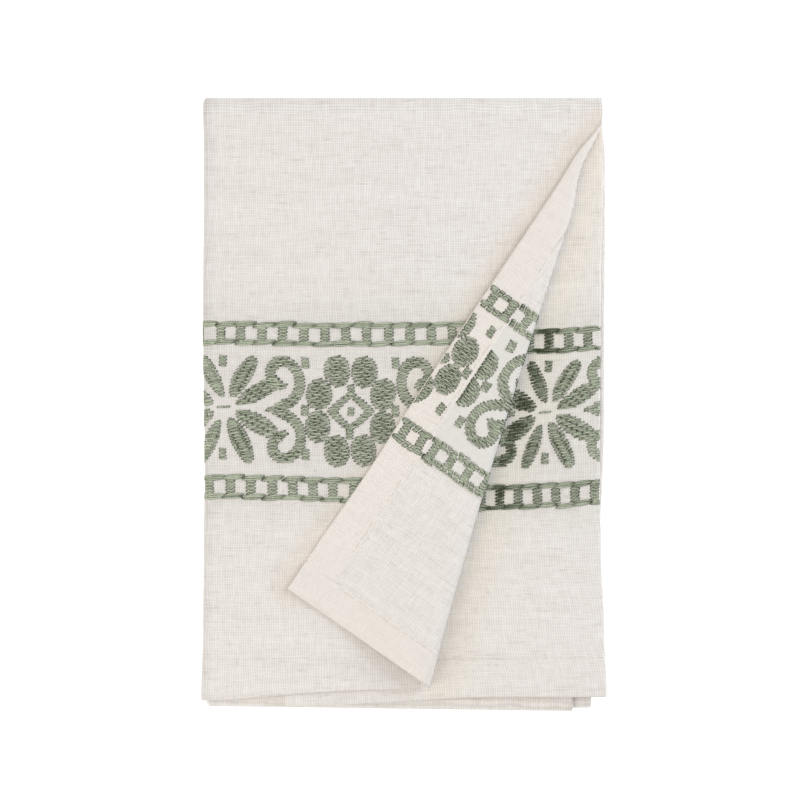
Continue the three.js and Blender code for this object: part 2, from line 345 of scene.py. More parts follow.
def rise(x, y):
    """How far the soft rises lift the face ply at a place in plan."""
    total = 0.0
    for centre_x, centre_y, reach_x, reach_y, height in RISES:
        r2 = ((x - centre_x) / reach_x) ** 2 + ((y - centre_y) / reach_y) ** 2
        total = total + height * np.exp(-r2)
    return total


def from_crease(x, y):
    """A place in plan, seen from the crease: along it from its top, and across it."""
    dx, dy = x - CREASE_TOP[0], y - CREASE_TOP[1]
    s, c = math.sin(CREASE_LEAN), math.cos(CREASE_LEAN)
    return -dx * s - dy * c, dx * c - dy * s


def to_plan(along, across):
    """The way back from the crease to a place in plan."""
    s, c = math.sin(CREASE_LEAN), math.cos(CREASE_LEAN)
    return CREASE_TOP[0] - along * s + across * c, CREASE_TOP[1] - along * c - across * s


def roll_radius(along):
    """How wide the roll of the crease is at a place along it."""
    return mix(*ROLL_RADIUS, np.clip(along / ROLL_LENGTH, 0.0, 1.0) ** ROLL_GROWTH)


def crease_bow(along, sideways):
    """The crease isn't quite straight: how far it bows towards the turned corner, which
    is drawn in to a waist near the top."""
    t = np.clip(along / ROLL_LENGTH, 0.0, 1.0)
    middle, end, reach = CREASE_BOW
    bow = (middle * np.sin(math.pi * t) - end * t) * hump(sideways, reach)
    place, length, depth, reach = CREASE_WAIST
    return bow + depth * np.exp(-(((along - place) / length) ** 2) - (sideways / reach) ** 2)


def turn_corner(x, y, w):
    """Turns a point of the face ply over the crease: x, y and height above the ply."""
    along, across = from_crease(x, y)
    radius = roll_radius(along)
    half = math.pi * radius / 2
    turn = (across + half) / radius
    turned = across >= half
    rolling = ~turned & (across > -half)
    fallen = smooth_step(across - half, 0, FLAP_FALL)
    sideways = np.select(
        [turned, rolling], [-across, -half + (radius + w) * np.sin(turn)], across)
    above = np.select(
        [turned, rolling],
        [mix(2 * radius, PITCH, fallen) + w, radius - (radius + w) * np.cos(turn)], -w)
    return *to_plan(along, sideways - crease_bow(along, sideways)), above


def fold(u, v, w):
    """Where the folded towel has the points u, v, w of the flat one, in metres."""
    base_y, base_z, out_y, out_z = spine(v)
    x, height, face, middle, inner = section(u, v, w)
    y = base_y + height * out_y
    z = base_z + height * out_z
    left, left_centre, right_centre, _, _ = fold_lines(v)
    first = v < V_TOP
    settle = 1 - smooth_step(v, V_TOP - 30, V_TOP)

    turned_x, turned_y, above = turn_corner(x, y + face_draw(x, v, left), w)
    turned_z = FACE_LEVEL + above + rise(turned_x, turned_y) * settle

    inset = np.where(inner, np.maximum(0.0, right_centre - x), 0.0)
    reached = smooth_step(x, left_centre, right_centre)
    pull = np.select([inner, middle], [1.0, reached], 0.0)
    share = np.clip(height / (2 * PITCH), 0.0, 1.0)
    under_y = y + inner_draw(inset, v) * pull
    under_z = z + rise(x, y) * share * settle

    skewed = smooth_step(v, V_SECOND, V_BOTTOM) - smooth_step(v, V_THIRD, CLOTH_LENGTH)
    y = y + SKEW[0] * (SKEW[1] - x) * skewed

    face = face & first
    x = np.where(face, turned_x, x)
    y = np.where(face, turned_y, np.where(first, under_y, y))
    z = np.where(face, turned_z, np.where(first, under_z, z))
    return np.stack([x + SHIFT_X, y, z], axis=-1) * TO_METRES


# Rows and columns of the flat cloth, closest where it shows and where it bends
EDGE_STEPS = (0.15, 0.45, 1.0)
VISIBLE_STEP = 2.2
HIDDEN_STEP = 7.8
TOP_FOLD_STEP = 1.1
BOTTOM_FOLD_STEP = 0.4
COLUMNS = (26, 16, 40, 10, 16, 8, 56)   # from the turned corner to the inner third
LEAST_COLUMN = 0.11             # between columns that run together at the crease's top
ROLL_MARGIN = 1.2               # how much wider than the roll its columns are


def evenly(start, end, count):
    """Places from start to end, the end left out."""
    return start + (end - start) * np.arange(count) / count


def stretch(start, end, step):
    """The same, but no further apart than step."""
    return evenly(start, end, math.ceil((end - start) / step))


def with_edges(inner, extent):
    """Places over the whole cloth, from the runs of them inside its rounded edges."""
    edge = np.array(EDGE_STEPS)
    return np.concatenate([[0.0], edge[:-1], *inner, extent - edge[::-1], [extent]])


def rows_past_top(end):
    """Runs of rows from the start of the top fold on, up to v = end."""
    return [
        stretch(V_TOP, V_SECOND, TOP_FOLD_STEP),
        stretch(V_SECOND, V_BOTTOM, HIDDEN_STEP),
        stretch(V_BOTTOM, V_THIRD, BOTTOM_FOLD_STEP),
        stretch(V_THIRD, end, HIDDEN_STEP),
    ]


def column_places(v):
    """The u of each column where the row stands at v. The columns follow the long
    folds and the crease, so that none of them is cut across by a bend."""
    left, left_centre, _, u_left, u_right = fold_lines(np.array(v))
    free_edge_x = left_centre - HALF_LEFT + u_left
    y = HEM_END + min(v, V_TOP)
    y = y + face_draw(free_edge_x, v, left)
    crease_x = CREASE_TOP[0] + (y - CREASE_TOP[1]) * math.tan(CREASE_LEAN)
    along, _ = from_crease(crease_x, y)
    wide = ROLL_MARGIN * math.pi / 2 * roll_radius(along) / math.cos(CREASE_LEAN)
    flap, roll = COLUMNS[:2]
    start = max(free_edge_x - crease_x - wide, EDGE_STEPS[-1] + flap * LEAST_COLUMN)
    end = max(free_edge_x - crease_x + wide, start + roll * LEAST_COLUMN)
    stops = (EDGE_STEPS[-1], start, end, u_left - HALF_LEFT, u_left + HALF_LEFT,
             u_right - HALF_RIGHT, u_right + HALF_RIGHT, CLOTH_WIDTH - EDGE_STEPS[-1])
    return with_edges(map(evenly, stops, stops[1:], COLUMNS), CLOTH_WIDTH)


def edge_rounding(inset):
    """1 inside the cloth, down to 0 at its very edge, as a quarter round."""
    t = np.clip(inset / EDGE_STEPS[-1], 0.0, 1.0)
    return np.sqrt(1 - (1 - t) ** 2)


def folded_mesh(name, bm, u, v, w):
    """Folds the vertices of bm, whose cloth coordinates are u, v, w, into a mesh with
    the flat cloth as its UV map, in millimetres."""
    for vert, place in zip(bm.verts, fold(u, v, w)):
        vert.co = place
    flat = bm.loops.layers.uv.new("flat cloth")
    for face in bm.faces:
        face.smooth = True
        for loop in face.loops:
            loop[flat].uv = (u[loop.vert.index], v[loop.vert.index])
    # a thin folded shell can come out of this turned inside out
    bmesh.ops.recalc_face_normals(bm, faces=bm.faces)
    if bm.calc_volume(signed=True) < 0:
        bmesh.ops.reverse_faces(bm, faces=bm.faces)
    mesh = bpy.data.meshes.new(name)
    bm.to_mesh(mesh)
    bm.free()
    return mesh


def flat_shell(rows, columns_at):
    """A shell of one cell's thickness over rows and columns of cloth: its bmesh, the u
    and v of each vertex, and whether it is on the wrong side."""
    columns = np.array([columns_at(v) for v in rows])
    across, along = columns.shape[1] - 1, len(rows) - 1
    bm = bmesh.new()
    bmesh.ops.create_grid(bm, x_segments=across, y_segments=along, size=0.5)
    bmesh.ops.solidify(bm, geom=bm.faces[:], thickness=0.01)
    bm.verts.index_update()
    place = np.array([vert.co[:] for vert in bm.verts])
    column = np.rint((place[:, 0] + 0.5) * across).astype(int)
    row = np.rint((place[:, 1] + 0.5) * along).astype(int)
    wrong_side = place[:, 2] > place[:, 2].mean()
    return bm, columns[row, column], rows[row], wrong_side


EDGE_SHARE = 0.15               # how much of its thickness the cloth keeps at its very edge

rows = with_edges([stretch(EDGE_STEPS[-1], V_TOP, VISIBLE_STEP),
                   *rows_past_top(CLOTH_LENGTH - EDGE_STEPS[-1])], CLOTH_LENGTH)
bm, u, v, wrong_side = flat_shell(rows, column_places)
inset = np.minimum.reduce([u, CLOTH_WIDTH - u, v, CLOTH_LENGTH - v])
middle = (CLOTH_THICKNESS - SOLID_PLY) / 2
half = CLOTH_THICKNESS / 2 * np.maximum(edge_rounding(inset), EDGE_SHARE)
w = middle + np.where(wrong_side, half, -half)
cloth_mesh = folded_mesh("cloth", bm, u, v, w)

# Painted shade, as shares of red, green and blue taken out of the cloth's colour: on its left
# fold, where it turns away from the light, in and around the band of sage stitches, and as
# painted shadows beside the turned corner and by the crease on the ply under it
FOLD_PAINTED_SHADE = (0.19, 0.18, 0.16)
FOLD_REACH = 3.6
STITCHED = (84.0, 149.0)        # from v to v
BAND_PAINTED_SHADE = (0.080, 0.068, 0.078)
BAND_SHADE_REACH = (18.0, 60.0)   # how far most of it reaches, and the rest
BAND_SHADE_NEAR = 0.75            # how much most of it is
CORNER_PAINTED_SHADOW = (0.03, 0.065, 0.105)
CORNER_REACH = (2.5, 4.0)       # where it is deepest, and how far it reaches from there
CREASE_PAINTED_SHADOW = (0.0, 0.02, 0.07)
CREASE_REACH = 13.0
PAST_FACE = 200.0               # u past this is under the top ply


def corner_edge():
    """Places in plan along the free side edge of the corner that is turned over."""
    v = np.arange(0.0, V_TOP, 1.5)
    return fold(np.zeros_like(v), v, np.zeros_like(v))[:, :2] / TO_METRES


def painted_shade_share(u, v, points, wrong_side):
    """The share of red, green and blue painted out of each point of the cloth's colour as shade.
    """
    _, _, _, u_left, _ = fold_lines(v)
    on_fold = 1 - smooth_step(np.abs(u - u_left), 0.0, FOLD_REACH)
    outside = np.maximum(STITCHED[0] - v, v - STITCHED[1])
    near, far = [1 - smooth_step(outside, 0.0, reach) for reach in BAND_SHADE_REACH]
    band_shade = np.where(wrong_side, 0.0, BAND_SHADE_NEAR * near + (1 - BAND_SHADE_NEAR) * far)
    edge = corner_edge()
    gap = np.array([np.hypot(*(edge - place).T).min() for place in points[:, :2]])
    deepest, reach = CORNER_REACH
    beside = np.where(wrong_side | (v > V_TOP), 0.0, hump(gap - deepest, reach))
    _, across = from_crease(points[:, 0] - SHIFT_X, points[:, 1])
    under_crease = (u > PAST_FACE) & (v < V_TOP) & (across > 0)
    by_crease = hump(across, CREASE_REACH) * under_crease
    kept = 1.0
    for share, loss in ((on_fold, FOLD_PAINTED_SHADE), (band_shade, BAND_PAINTED_SHADE),
                        (beside, CORNER_PAINTED_SHADOW), (by_crease, CREASE_PAINTED_SHADOW)):
        kept = kept * (1 - share[:, None] * np.array(loss))
    return 1 - kept


# painted shade: kept on the cloth as a colour attribute, which darkens its material's colour
points = np.array([vert.co[:] for vert in cloth_mesh.vertices]) / TO_METRES
lost = np.ones((len(points), 4))
lost[:, :3] = painted_shade_share(u, v, points, wrong_side)
painted_shade_layer = cloth_mesh.attributes.new("lost light", "FLOAT_COLOR", "POINT")
painted_shade_layer.data.foreach_set("color", lost.ravel())

WARP_SPACING = 0.95             # drawn coarser than the real 0.6 mm, which would not show
WEFT_SPACING = 0.64
CROSSING = (0.60, 0.42)         # a thread's height, and how much more it has on top
WANDER = (2.4, 0.9, 0.0)
GAP_TONE = "#a2968a"


def plain_weave(name, gap_depth, unevenness, tone):
    """Linen and cotton in plain weave, washed and ironed: a matt, slightly uneven
    off-white of thick and thin threads, with a faint fuzz. gap_depth is how dark the
    gaps between threads are painted, as shade in them, and tone the colour of the threads."""
    material, node = new_material(name)
    noise_2d = {"noise_dimensions": "2D"}
    flat = node("UVMap", {"uv_map": "flat cloth"})

    # the threads wander a little, so the grid is drawn on slightly moved places
    slow = node("TexNoise", noise_2d, Vector=flat, Scale=0.05, Detail=2.0)
    moved = node("VectorMath MULTIPLY_ADD", _0=slow.outputs["Color"], _1=WANDER, _2=flat)
    place = node("SeparateXYZ", Vector=moved)
    u, v = place.outputs["X"], place.outputs["Y"]

    # sines that change sign from thread to thread, and whose product says which of two
    # crossing threads is on top
    warp_wave, weft_wave = [
        node("Math SINE", _0=node("Math MULTIPLY", _0=across, _1=math.pi / spacing))
        for across, spacing in ((u, WARP_SPACING), (v, WEFT_SPACING))]
    crossing = node("Math MULTIPLY", _0=warp_wave, _1=weft_wave)
    heights = []
    for wave, side in ((warp_wave, CROSSING[1]), (weft_wave, -CROSSING[1])):
        over = node("Math MULTIPLY_ADD", _0=crossing, _1=side, _2=CROSSING[0])
        round_top = node("Math ABSOLUTE", _0=wave)
        heights.append(node("Math MULTIPLY", _0=round_top, _1=over))
    height = node("Math MAXIMUM", _0=heights[0], _1=heights[1])

    def thread_noise(across, along, spacing, run):
        """Noise that keeps its value across a thread and changes slowly along it."""
        number = node("Math FLOOR", _0=node("Math DIVIDE", _0=across, _1=spacing))
        both = node("CombineXYZ", X=node("Math MULTIPLY", _0=number, _1=0.73),
                    Y=node("Math DIVIDE", _0=along, _1=run))
        return node("TexNoise", noise_2d, Vector=both, Scale=1.0, Detail=3.0, Roughness=0.6)

    warp_noise = thread_noise(u, v, WARP_SPACING, 7.0)
    weft_noise = thread_noise(v, u, WEFT_SPACING, 9.0)
    bands = thread_noise(v, u, 2.6, 60.0)
    slub = node("MapRange", {"interpolation_type": "SMOOTHSTEP"},
                Value=weft_noise, _1=0.60, _2=0.78, _3=0.0, _4=1.0)
    grain = node("TexNoise", noise_2d, Vector=flat, Scale=1.6, Detail=2.0)

    # painted shade in the gaps between threads, where they lie low, towards GAP_TONE, together
    # with each thread's own uneven tone
    low = node("Math SUBTRACT", _0=1.0, _1=height)
    dark = node("Math MULTIPLY", _0=low, _1=gap_depth)
    for noise, share in ((warp_noise, 0.22), (weft_noise, 0.22), (bands, 0.12), (grain, 0.08)):
        centred = node("Math SUBTRACT", _0=noise, _1=0.5)
        dark = node("Math MULTIPLY_ADD", _0=centred, _1=share * unevenness, _2=dark)
    dark = node("Math MULTIPLY_ADD", _0=slub, _1=0.06 * unevenness, _2=dark)
    colour = node("Mix", {"data_type": "RGBA"}, _0=dark, _6=linear(tone), _7=linear(GAP_TONE))
    # painted shade: the colour is darkened by the cloth's painted shade attribute, where it has
    # one
    lost = node("Attribute", {"attribute_name": "lost light"})
    kept = node("VectorMath SUBTRACT", _0=(1.0, 1.0, 1.0), _1=lost.outputs["Color"])
    colour = node("VectorMath MULTIPLY", _0=colour.outputs[2], _1=kept)

    relief = node("Math MULTIPLY_ADD", _0=slub, _1=0.35, _2=height)
    bump = node("Bump", Strength=0.5, Distance=0.0002, Height=relief)
    cloth = node("BsdfPrincipled", Base_Color=colour, Roughness=0.88, Normal=bump)
    cloth.inputs["Sheen Weight"].default_value = 0.10
    cloth.inputs["Sheen Roughness"].default_value = 0.5
    cloth.inputs["Specular IOR Level"].default_value = 0.3
    node("OutputMaterial", Surface=cloth)
    return material


cloth = new_object("cloth", cloth_mesh,
                   plain_weave("linen and cotton plain weave", 0.44, 1.25, "#f7f2ed"))
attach(cloth, "root")
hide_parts("towel")


# ------------------------------------------------------------------------ the hems
# The cloth's own edges, turned over twice to the wrong side and pressed. The long side
# hems were sewn first, so the end hems lie over them at the corners.

SIDE_HEM = 15.0
END_HEM = 18.0
HEM_THICKNESS = 0.3             # what a hem adds on the wrong side
HEM_LEVEL = CLOTH_THICKNESS - SOLID_PLY / 2     # the wrong side of the cloth
HEM_TOP = HEM_LEVEL + HEM_THICKNESS
HEM_START = 0.25                # how far in its rounded edge starts
HEM_EDGE_SHARE = 0.1            # how much of its thickness it keeps there
HEM_STEP = 1.2
HEM_ROUNDING = (0.0, 0.12, 0.35)
FINE_STEP = 0.9                 # along the crease's top, from this v on
FINE_FROM = 150.0


def hem_places(end):
    """Places across a hem, closer where its two edges are rounded."""
    edge = np.array(HEM_ROUNDING)
    inner = stretch(HEM_START + 0.8, end - 0.8, HEM_STEP)
    return np.concatenate([HEM_START + edge, inner, end - edge[::-1]])


def hem_strip(name, rows, columns_at, width):
    """The folded mesh of a side or end hem. An end hem is raised over the side hems."""
    bm, u, v, wrong_side = flat_shell(rows, columns_at)
    from_side, from_end = np.minimum(u, CLOTH_WIDTH - u), np.minimum(v, CLOTH_LENGTH - v)
    inset, over = from_side, 0.0
    if name == "end hem":
        inset = from_end
        over = 1 - smooth_step(from_side, SIDE_HEM - 0.4, SIDE_HEM + HEM_STEP)
    rounding = edge_rounding(np.minimum(inset - HEM_START, width - inset))
    top = HEM_THICKNESS * np.maximum(rounding, HEM_EDGE_SHARE)
    w = HEM_LEVEL + HEM_THICKNESS * over + np.where(wrong_side, top, 0.0)
    return folded_mesh(name, bm, u, v, w)


def at_both_edges(places, extent):
    """Places across a hem at one edge of the cloth, and at the opposite edge."""
    return places, extent - places[::-1]


last_row = CLOTH_LENGTH - HEM_START
side_rows = np.concatenate([
    stretch(HEM_START, FINE_FROM, VISIBLE_STEP), stretch(FINE_FROM, V_TOP, FINE_STEP),
    *rows_past_top(last_row), [last_row]])
hem_meshes = [hem_strip("side hem", side_rows, lambda v: columns, SIDE_HEM)
              for columns in at_both_edges(hem_places(SIDE_HEM), CLOTH_WIDTH)]
hem_meshes += [hem_strip("end hem", rows, column_places, END_HEM)
               for rows in at_both_edges(hem_places(END_HEM), CLOTH_LENGTH)]

bm = bmesh.new()
for mesh in hem_meshes:
    bm.from_mesh(mesh)
hem_mesh = bpy.data.meshes.new("hems")
bm.to_mesh(hem_mesh)
bm.free()

hems = new_object("hems", hem_mesh,
                  plain_weave("doubled plain weave of a hem", 0.30, 0.7, "#f6efe8"))
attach(hems, "root")


# ------------------------------------------------------------------- cotton thread
# Two-ply matt cotton, in a grey sage green for the embroidery and in the cloth's own
# colour for the hems. Each stitch is a short round of thread that comes up through the
# cloth, lies over it and goes down.

# A row of numbers is a stitch: u0, v0, u1, v1 and its bow sideways, in cloth coordinates.
THREAD_SINK = 0.16              # how far its ends go down into the cloth
THREAD_FLATTEN = 0.80
RIGHT_SIDE = {"side": -1, "base": SOLID_PLY / 2, "crown": 0.30, "radius": 0.38, "spokes": 6}
ON_HEM = {"side": 1, "base": HEM_TOP, "crown": 0.22, "radius": 0.40, "spokes": 6}
WRONG_SIDE = {"side": 1, "base": HEM_LEVEL + 0.10, "crown": 0.14, "radius": 0.40, "spokes": 6,
              "slack": True}
# painted shade: the amounts of shade below are painted into the thread's colour through its deep
# attribute
SLACK_DEEP = 0.86               # how deep in shade slack, fuzzy stitches are beside others
HEM_SHADE = (0.75, 0.9)         # how deep the hem's edge puts those in shade, and how far
NEEDLE_HOLE = 0.33              # how far from its ends a stitch is in shade
BACK_ROWS = (0.09, 0.22)        # how much lower and deeper in shade every second row lies
THREAD_RINGS = 9
CROWN_SPREAD, RADIUS_SPREAD = 0.22, 0.08
SHADE_SPREAD = (0.09, 0.05)     # from stitch to stitch, and along each
PRESSED = (0.6, 8.0)            # how flat stitches are pressed at a fold, and how far off
BULGE_SHADE = (0.75, 11.0)      # the shade under the turned corner's bulge, and its reach

draw = np.random.default_rng(11)
scatter = draw.standard_normal


def thread_rings(length, bent):
    """Where along a stitch its rings stand: closer where it goes down, or evenly where
    bent says that it lies over a fold."""
    near = np.minimum(0.14, 0.20 / length[:, 0])
    half = np.concatenate([0 * near, near, 2.4 * near, 1.2 * near + 0.25, 0 * near + 0.5], axis=1)
    rings = np.concatenate([half, 1 - half[:, -2::-1]], axis=1)
    return np.where(bent, np.linspace(0, 1, THREAD_RINGS), rings)[..., None]


def to_folds(places):
    """How far places in cloth coordinates are from the nearest long fold."""
    _, _, _, left_fold, right_fold = fold_lines(places[..., 1])
    return np.minimum(np.abs(places[..., 0] - left_fold), np.abs(places[..., 0] - right_fold))


def thread_parts(stitches, side, base, crown, radius, spokes, shade=0.0, slack=False):
    """The vertices of each stitch, how deep each is in painted shade, with a little tone of its
    own, and how far along each is.
    """
    each = (len(stitches), 1, 1)
    start, end, bow = stitches[:, None, 0:2], stitches[:, None, 2:4], stitches[:, None, 4:5]
    span = end - start
    length = np.maximum(np.linalg.norm(span, axis=2, keepdims=True), 0.2)
    way = span / length
    sideways = np.concatenate([-way[..., 1:], way[..., :1]], axis=2)

    t = thread_rings(length, to_folds((start + end) / 2) < length[..., 0] / 2 + 2.5)
    ends = np.abs(2 * t - 1) ** np.maximum(4.0, 2.6 * length)
    centre = start + span * t + sideways * bow * 4 * t * (1 - t)
    # every second row of a fill comes back across the towel, and lies a little lower
    back = (span[..., :1] > 0) * 1.0
    tall = crown * (1 + CROWN_SPREAD * scatter(each)) - BACK_ROWS[0] * back
    loose = 1 - PRESSED[0] * hump(to_folds(centre)[..., None], PRESSED[1])
    lift = tall * (1 - ends) * loose - THREAD_SINK * ends
    thick = radius * (1 + RADIUS_SPREAD * scatter(each)) * (1 - 0.3 * ends)

    turn = 2 * math.pi * (np.arange(spokes) + 0.5) / spokes
    wide = sideways * thick * (1.3 - 0.3 * loose)
    flat = centre[:, :, None, :] + wide[:, :, None, :] * np.cos(turn)[:, None]
    w = side * (base + lift + thick * THREAD_FLATTEN * loose * np.sin(turn))
    places = fold(flat[..., 0], flat[..., 1], w)

    # the deep attribute paints shade into the thread's colour: a little tone of each stitch's own,
    # painted shade on every second row, which lies lower, by the needle holes and on each stitch's
    # sides, and a painted shadow beside the crease under the turned corner's bulge
    own = SHADE_SPREAD[0] * scatter(each) + SHADE_SPREAD[1] * scatter(t.shape)
    own = own + BACK_ROWS[1] * (back - 0.3)
    pit = NEEDLE_HOLE * np.sqrt(np.clip(length / 2.5, 1.0, 4.0))
    hole = hump(np.minimum(t, 1 - t) * length, pit)
    aside = np.minimum(1.0, 1.5 * (1 - np.sin(turn)))
    _, across = from_crease(places[..., 0] / TO_METRES - SHIFT_X, places[..., 1] / TO_METRES)
    painted_bulge_shadow = np.where(across > 0, BULGE_SHADE[0] * hump(across, BULGE_SHADE[1]), 0.0)
    deep = 1 - (1 - aside) * (1 - hole) * (1 - painted_bulge_shadow)
    # slack stitches get less painted shade, and painted shade along the hem's edge
    if slack:
        by_hem = np.exp(-np.maximum(0.0, flat[..., 0] - SIDE_HEM) / HEM_SHADE[1])
        deep = deep * SLACK_DEEP + HEM_SHADE[0] * by_hem
    return places, deep + own + shade, np.broadcast_to(length * t, w.shape)


def thread_mesh(name, groups):
    """One mesh of all the stitches in groups, which are (stitches, kind of stitch)."""
    vertices, faces, shades, uvs = [], [], [], []
    total = 0
    for stitches, kind in groups:
        if not len(stitches):
            continue
        spokes = kind["spokes"]
        per_stitch = THREAD_RINGS * spokes
        ring, spoke = np.meshgrid(np.arange(THREAD_RINGS - 1), np.arange(spokes), indexing="ij")
        corners = ((ring, spoke), (ring, spoke + 1), (ring + 1, spoke + 1), (ring + 1, spoke))
        quads = np.stack([r * spokes + s % spokes for r, s in corners], axis=-1).reshape(-1, 4)
        around = np.stack([s for _, s in corners], axis=-1).reshape(-1, 4) / spokes
        caps = np.stack([np.arange(spokes)[::-1], per_stitch - spokes + np.arange(spokes)])
        if kind["side"] < 0:
            quads, around, caps = quads[:, ::-1], around[:, ::-1], caps[:, ::-1]

        places, deep, along = thread_parts(stitches, **kind)
        count = len(places)
        first = total + np.arange(count)[:, None, None] * per_stitch
        faces += [*(first + quads).reshape(-1, 4).tolist(),
                  *(first + caps).reshape(-1, spokes).tolist()]
        vertices.append(places.reshape(-1, 3))
        shades.append(np.broadcast_to(deep, along.shape).reshape(-1))
        run = along.reshape(count, -1)[:, quads.reshape(-1)]
        wrap = np.broadcast_to(around.reshape(-1), run.shape)
        uvs += [np.stack([run, wrap], axis=-1).reshape(-1, 2), np.zeros((count * 2 * spokes, 2))]
        total += count * per_stitch

    mesh = bpy.data.meshes.new(name)
    mesh.from_pydata(np.concatenate(vertices).tolist(), [], faces)
    mesh.polygons.foreach_set("use_smooth", np.ones(len(mesh.polygons), dtype=bool))
    mesh.attributes.new("deep", "FLOAT", "POINT").data.foreach_set("value", np.concatenate(shades))
    layer = mesh.uv_layers.new(name="thread")
    layer.data.foreach_set("uv", np.concatenate(uvs).reshape(-1))
    mesh.update()
    return mesh


def matt_cotton(name, light, deep):
    """Two-ply cotton thread, dyed and not mercerised: matt and soft, with a fine twist.
    Its colour has painted shade: light where it lies on top, deep where it goes down between its
    neighbours, and a little darker and lighter along its twist."""
    material, node = new_material(name)
    shade = node("Attribute", {"attribute_name": "deep"})
    place = node("SeparateXYZ", Vector=node("UVMap", {"uv_map": "thread"}))
    turns = node("Math MULTIPLY_ADD", _0=place.outputs["X"], _1=1.1, _2=place.outputs["Y"])
    twist = node("Math SINE", _0=node("Math MULTIPLY", _0=turns, _1=2 * math.pi))
    # painted shade: the deep attribute and the twist darken the light colour towards the deep one
    dark = node("Math MULTIPLY_ADD", _0=twist, _1=-0.10, _2=shade.outputs["Fac"])
    colour = node("Mix", {"data_type": "RGBA"}, _0=dark, _6=linear(light), _7=linear(deep))
    bump = node("Bump", Strength=0.7, Distance=0.00008, Height=twist)
    cotton = node("BsdfPrincipled", Base_Color=colour.outputs[2], Roughness=0.75, Normal=bump)
    cotton.inputs["Sheen Weight"].default_value = 0.12
    cotton.inputs["Sheen Roughness"].default_value = 0.4
    cotton.inputs["Specular IOR Level"].default_value = 0.3
    node("OutputMaterial", Surface=cotton)
    return material


# ------------------------------------------------------------------- hem stitching
# One line of lockstitch down the inner edge of each hem, seen on both sides, in thread
# of the cloth's own colour. It shows as a row of small dark pits, shade painted on the
# stitches' ends where they go down.

STITCH_PITCH = 3.05
STITCH_LENGTH = 2.55
SIDE_LINE = 13.4                # in from the cloth's edge
END_LINE = 16.2
SEWN = {"crown": -0.04, "radius": 0.18, "spokes": 4}
SEWN_RIGHT = {"side": -1, "base": SOLID_PLY / 2, **SEWN}
SEWN_WRONG = {"side": 1, "base": HEM_TOP, **SEWN}


def running_stitches(length):
    """Where the stitches of a line start and end, and how far aside both ends are."""
    start = np.arange(SIDE_LINE, length - SIDE_LINE - STITCH_LENGTH, STITCH_PITCH)
    start = start + 0.15 * scatter(len(start))
    return start, start + STITCH_LENGTH, *(0.12 * scatter((2, len(start))))


seams = []
for line in (SIDE_LINE, CLOTH_WIDTH - SIDE_LINE):
    start, end, aside, other = running_stitches(CLOTH_LENGTH)
    seams.append(np.stack([line + aside, start, line + other, end, 0 * start], axis=1))
for line in (END_LINE, CLOTH_LENGTH - END_LINE):
    start, end, aside, other = running_stitches(CLOTH_WIDTH)
    seams.append(np.stack([end, line + aside, start, line + other, 0 * start], axis=1))
seams = np.concatenate(seams)

stitching_mesh = thread_mesh("hem_stitching", [(seams, SEWN_RIGHT), (seams, SEWN_WRONG)])
hem_stitching = new_object("hem_stitching", stitching_mesh,
                           matt_cotton("ecru cotton sewing thread", "#f0ebe2", "#cfc5b6"))
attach(hem_stitching, "root")


# ---------------------------------------------------------------- embroidery fills
# The band of flowers is machine embroidery. Every shape is filled with zigzag rows that
# lie almost across the towel and share their needle holes, so its outline is a row of
# teeth. The picture of a motif has x to the right and y up, which is -u and +v.

ROW_PITCH = 0.65                # two rows make one tooth
ROW_SLANT = 0.12
SHARED_HOLES = 0.85             # how far two rows' ends come together, 1 for the same hole
LEAST_STITCH = 0.6
LONGEST_STITCH = 5.4            # longer rows go down into the cloth on the way
BREAK_MARGIN = 0.8
SAMPLE = 0.04
LEAST_LEFT = 0.9                # shorter stitches are left out where an edge cuts them
LOOPS = 3
LONGEST_LOOP = 5.5
LOOP_SPREAD = 0.9               # the slack bundles there are wider
FREE_EDGE_X = 79.0              # where the free side edge would lie, were it not turned
EDGE_BARE = 0.4                 # no stitch reaches further out
CREASE_SHOWN = 1.02             # right-side stitches stop this share round the roll
INNER_SHOWN = 372.0             # and on the ply under it, where the top ply hides them
BACK_SHOWN = 90.0               # wrong-side stitches past this are all under the corner

# its deep colour is the painted shade of the green
sage_cotton = matt_cotton("sage green matt cotton thread", "#c4cbb4", "#363f25")


def satin(inside, box, breaks=None, pitch=ROW_PITCH):
    """Fills a shape with zigzag rows. inside(x, y) says what is filled, box is its low
    x, high x, low y and high y, and breaks(y, row) gives the places where a long row
    goes down into the cloth. Returns stitches in the motif's picture."""
    low_x, high_x, low_y, high_y = box
    x = np.arange(low_x - 0.5, high_x + 0.5, SAMPLE)
    middle = (low_x + high_x) / 2
    reach = ROW_SLANT * (high_x - low_x) / 2
    stitches = []
    for row, y in enumerate(np.arange(low_y - reach + pitch / 2, high_y + reach, pitch)):
        line = y + ROW_SLANT * (x - middle)
        change = np.diff(inside(x, line).astype(int), prepend=0, append=0)
        lean = SHARED_HOLES * pitch / 2 * (1 if row % 2 else -1)
        for first, last in zip(np.flatnonzero(change > 0), np.flatnonzero(change < 0)):
            x0, x1 = x[first], x[last - 1]
            if x1 - x0 < LEAST_STITCH:
                continue
            stops = []
            if breaks and x1 - x0 >= LONGEST_STITCH:
                low, high = x0 + BREAK_MARGIN, x1 - BREAK_MARGIN
                stops = sorted(place for place in breaks(y, row) if low < place < high)
            stops = np.array([x0, *stops, x1])
            height = y + ROW_SLANT * (stops - middle)
            height[0] -= lean
            height[-1] += lean
            if row % 2:
                stops, height = stops[::-1], height[::-1]
            stitches += zip(stops, height, stops[1:], height[1:], 0 * stops)
    return np.array(stitches)


def bar(x, y, width, tall):
    """A small upright block of satin."""
    half = width / 2
    return satin(lambda px, py: (np.abs(px - x) < half) & (np.abs(py - y) < tall / 2),
                 (x - half, x + half, y - tall / 2, y + tall / 2))


